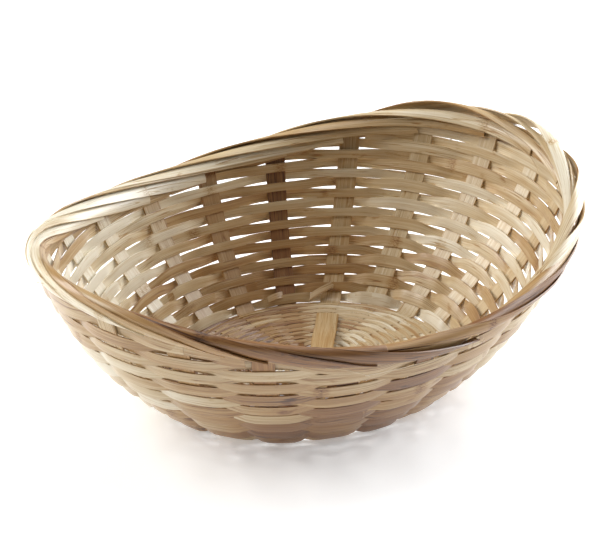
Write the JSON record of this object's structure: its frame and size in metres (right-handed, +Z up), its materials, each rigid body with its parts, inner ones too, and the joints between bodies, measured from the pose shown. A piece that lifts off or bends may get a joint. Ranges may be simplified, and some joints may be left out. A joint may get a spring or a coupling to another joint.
{
  "type": "bread basket",
  "caption": "Oval woven bread basket of flat bamboo splints, with flared sides, raised ends and a wrapped rim.",
  "frame": {"origin": "middle of the base, on the plane that the basket stands on", "axes": "+Z up; +X along the oval's long axis; +Y along its short axis"},
  "size_m": [0.248, 0.1916, 0.0785],
  "materials": {
    "stake_bamboo": "dry split bamboo, fine lengthwise grain, satin",
    "weaver_bamboo": "dry split bamboo, cream to tan from strip to strip, satin",
    "rim_bamboo": "dry split bamboo, smooth skin side out, satin",
    "base_bamboo": "fine split bamboo, matt to satin"
  },
  "bodies": {
    "root": {"splint_01": "stake_bamboo", "splint_02": "stake_bamboo", "splint_03": "stake_bamboo", "splint_04": "stake_bamboo", "splint_05": "stake_bamboo", "splint_06": "stake_bamboo", "splint_07": "stake_bamboo", "splint_08": "stake_bamboo", "splint_09": "stake_bamboo", "splint_10": "stake_bamboo", "splint_11": "stake_bamboo", "base_strand_1": "base_bamboo", "base_strand_2": "base_bamboo", "base_strand_3": "base_bamboo", "base_strand_4": "base_bamboo", "floor_strip": "base_bamboo", "wall_weaver_01": "weaver_bamboo", "wall_weaver_02": "weaver_bamboo", "wall_weaver_03": "weaver_bamboo", "wall_weaver_04": "weaver_bamboo", "wall_weaver_05": "weaver_bamboo", "wall_weaver_06": "weaver_bamboo", "wall_weaver_07": "weaver_bamboo", "wall_weaver_08": "weaver_bamboo", "wall_weaver_09": "weaver_bamboo", "wall_weaver_10": "weaver_bamboo", "wall_weaver_11": "weaver_bamboo", "wall_weaver_12": "weaver_bamboo", "wall_weaver_13": "weaver_bamboo", "wall_weaver_14": "weaver_bamboo", "end_weavers_1": "weaver_bamboo", "end_weavers_2": "weaver_bamboo", "end_weavers_3": "weaver_bamboo", "end_weavers_4": "weaver_bamboo", "end_weavers_5": "weaver_bamboo", "border_weaver_lower": "weaver_bamboo", "border_weaver_upper": "weaver_bamboo", "rim_tail_01": "rim_bamboo", "rim_tail_02": "rim_bamboo", "rim_tail_03": "rim_bamboo", "rim_tail_04": "rim_bamboo", "rim_tail_05": "rim_bamboo", "rim_tail_06": "rim_bamboo", "rim_tail_07": "rim_bamboo", "rim_tail_08": "rim_bamboo", "rim_tail_09": "rim_bamboo", "rim_tail_10": "rim_bamboo", "rim_tail_11": "rim_bamboo", "rim_tail_12": "rim_bamboo", "rim_tail_13": "rim_bamboo", "rim_tail_14": "rim_bamboo", "rim_tail_15": "rim_bamboo", "rim_tail_16": "rim_bamboo", "rim_tail_17": "rim_bamboo", "rim_tail_18": "rim_bamboo", "rim_tail_19": "rim_bamboo", "rim_tail_20": "rim_bamboo", "rim_tail_21": "rim_bamboo", "rim_tail_22": "rim_bamboo"}
  },
  "joints": []
}
